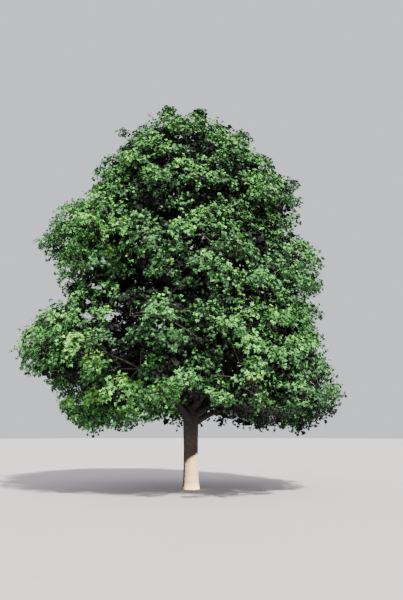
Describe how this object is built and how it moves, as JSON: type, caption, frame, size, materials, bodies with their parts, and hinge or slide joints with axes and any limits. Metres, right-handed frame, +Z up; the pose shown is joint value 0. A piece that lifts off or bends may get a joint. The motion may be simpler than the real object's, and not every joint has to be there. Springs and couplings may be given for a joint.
{
  "type": "tree",
  "caption": "Norway maple in summer leaf: straight flared trunk, boughs rising from a low fork, and a broad, dense, egg-shaped crown.",
  "frame": {"origin": "centre of the flat cut under the trunk, at ground level", "axes": "+Z up along the trunk, +X to the right and +Y away from the viewer in the picture's view"},
  "size_m": [10.5687, 10.5707, 12.7084],
  "materials": {
    "bark": "dry grey-brown bark with fine upright furrows",
    "foliage": "matte green leaves with a slight sheen"
  },
  "bodies": {
    "root": {"bough_lower_1": "bark", "bough_lower_2": "bark", "bough_lower_3": "bark", "bough_lower_4": "bark", "bough_lower_5": "bark", "bough_lower_6": "bark", "bough_lower_7": "bark", "bough_lower_8": "bark", "bough_lowest_1": "bark", "bough_lowest_2": "bark", "bough_lowest_3": "bark", "bough_lowest_4": "bark", "bough_lowest_5": "bark", "bough_lowest_6": "bark", "bough_lowest_7": "bark", "bough_lowest_8": "bark", "bough_middle_1": "bark", "bough_middle_2": "bark", "bough_middle_3": "bark", "bough_middle_4": "bark", "bough_middle_5": "bark", "bough_middle_6": "bark", "bough_middle_7": "bark", "foliage_lower_1": "foliage", "foliage_lower_2": "foliage", "foliage_lower_3": "foliage", "foliage_lower_4": "foliage", "foliage_lower_5": "foliage", "foliage_lower_6": "foliage", "foliage_lower_7": "foliage", "foliage_lower_8": "foliage", "foliage_lowest_1": "foliage", "foliage_lowest_2": "foliage", "foliage_lowest_3": "foliage", "foliage_lowest_4": "foliage", "foliage_lowest_5": "foliage", "foliage_lowest_6": "foliage", "foliage_lowest_7": "foliage", "foliage_lowest_8": "foliage", "foliage_middle_1": "foliage", "foliage_middle_2": "foliage", "foliage_middle_3": "foliage", "foliage_middle_4": "foliage", "foliage_middle_5": "foliage", "foliage_middle_6": "foliage", "foliage_middle_7": "foliage", "foliage_shoulder_1": "foliage", "foliage_shoulder_2": "foliage", "foliage_shoulder_3": "foliage", "foliage_shoulder_4": "foliage", "foliage_top_1": "foliage", "foliage_upper_1": "foliage", "foliage_upper_2": "foliage", "foliage_upper_3": "foliage", "foliage_upper_4": "foliage", "foliage_upper_5": "foliage", "foliage_upper_6": "foliage", "trunk": "bark"}
  },
  "joints": []
}
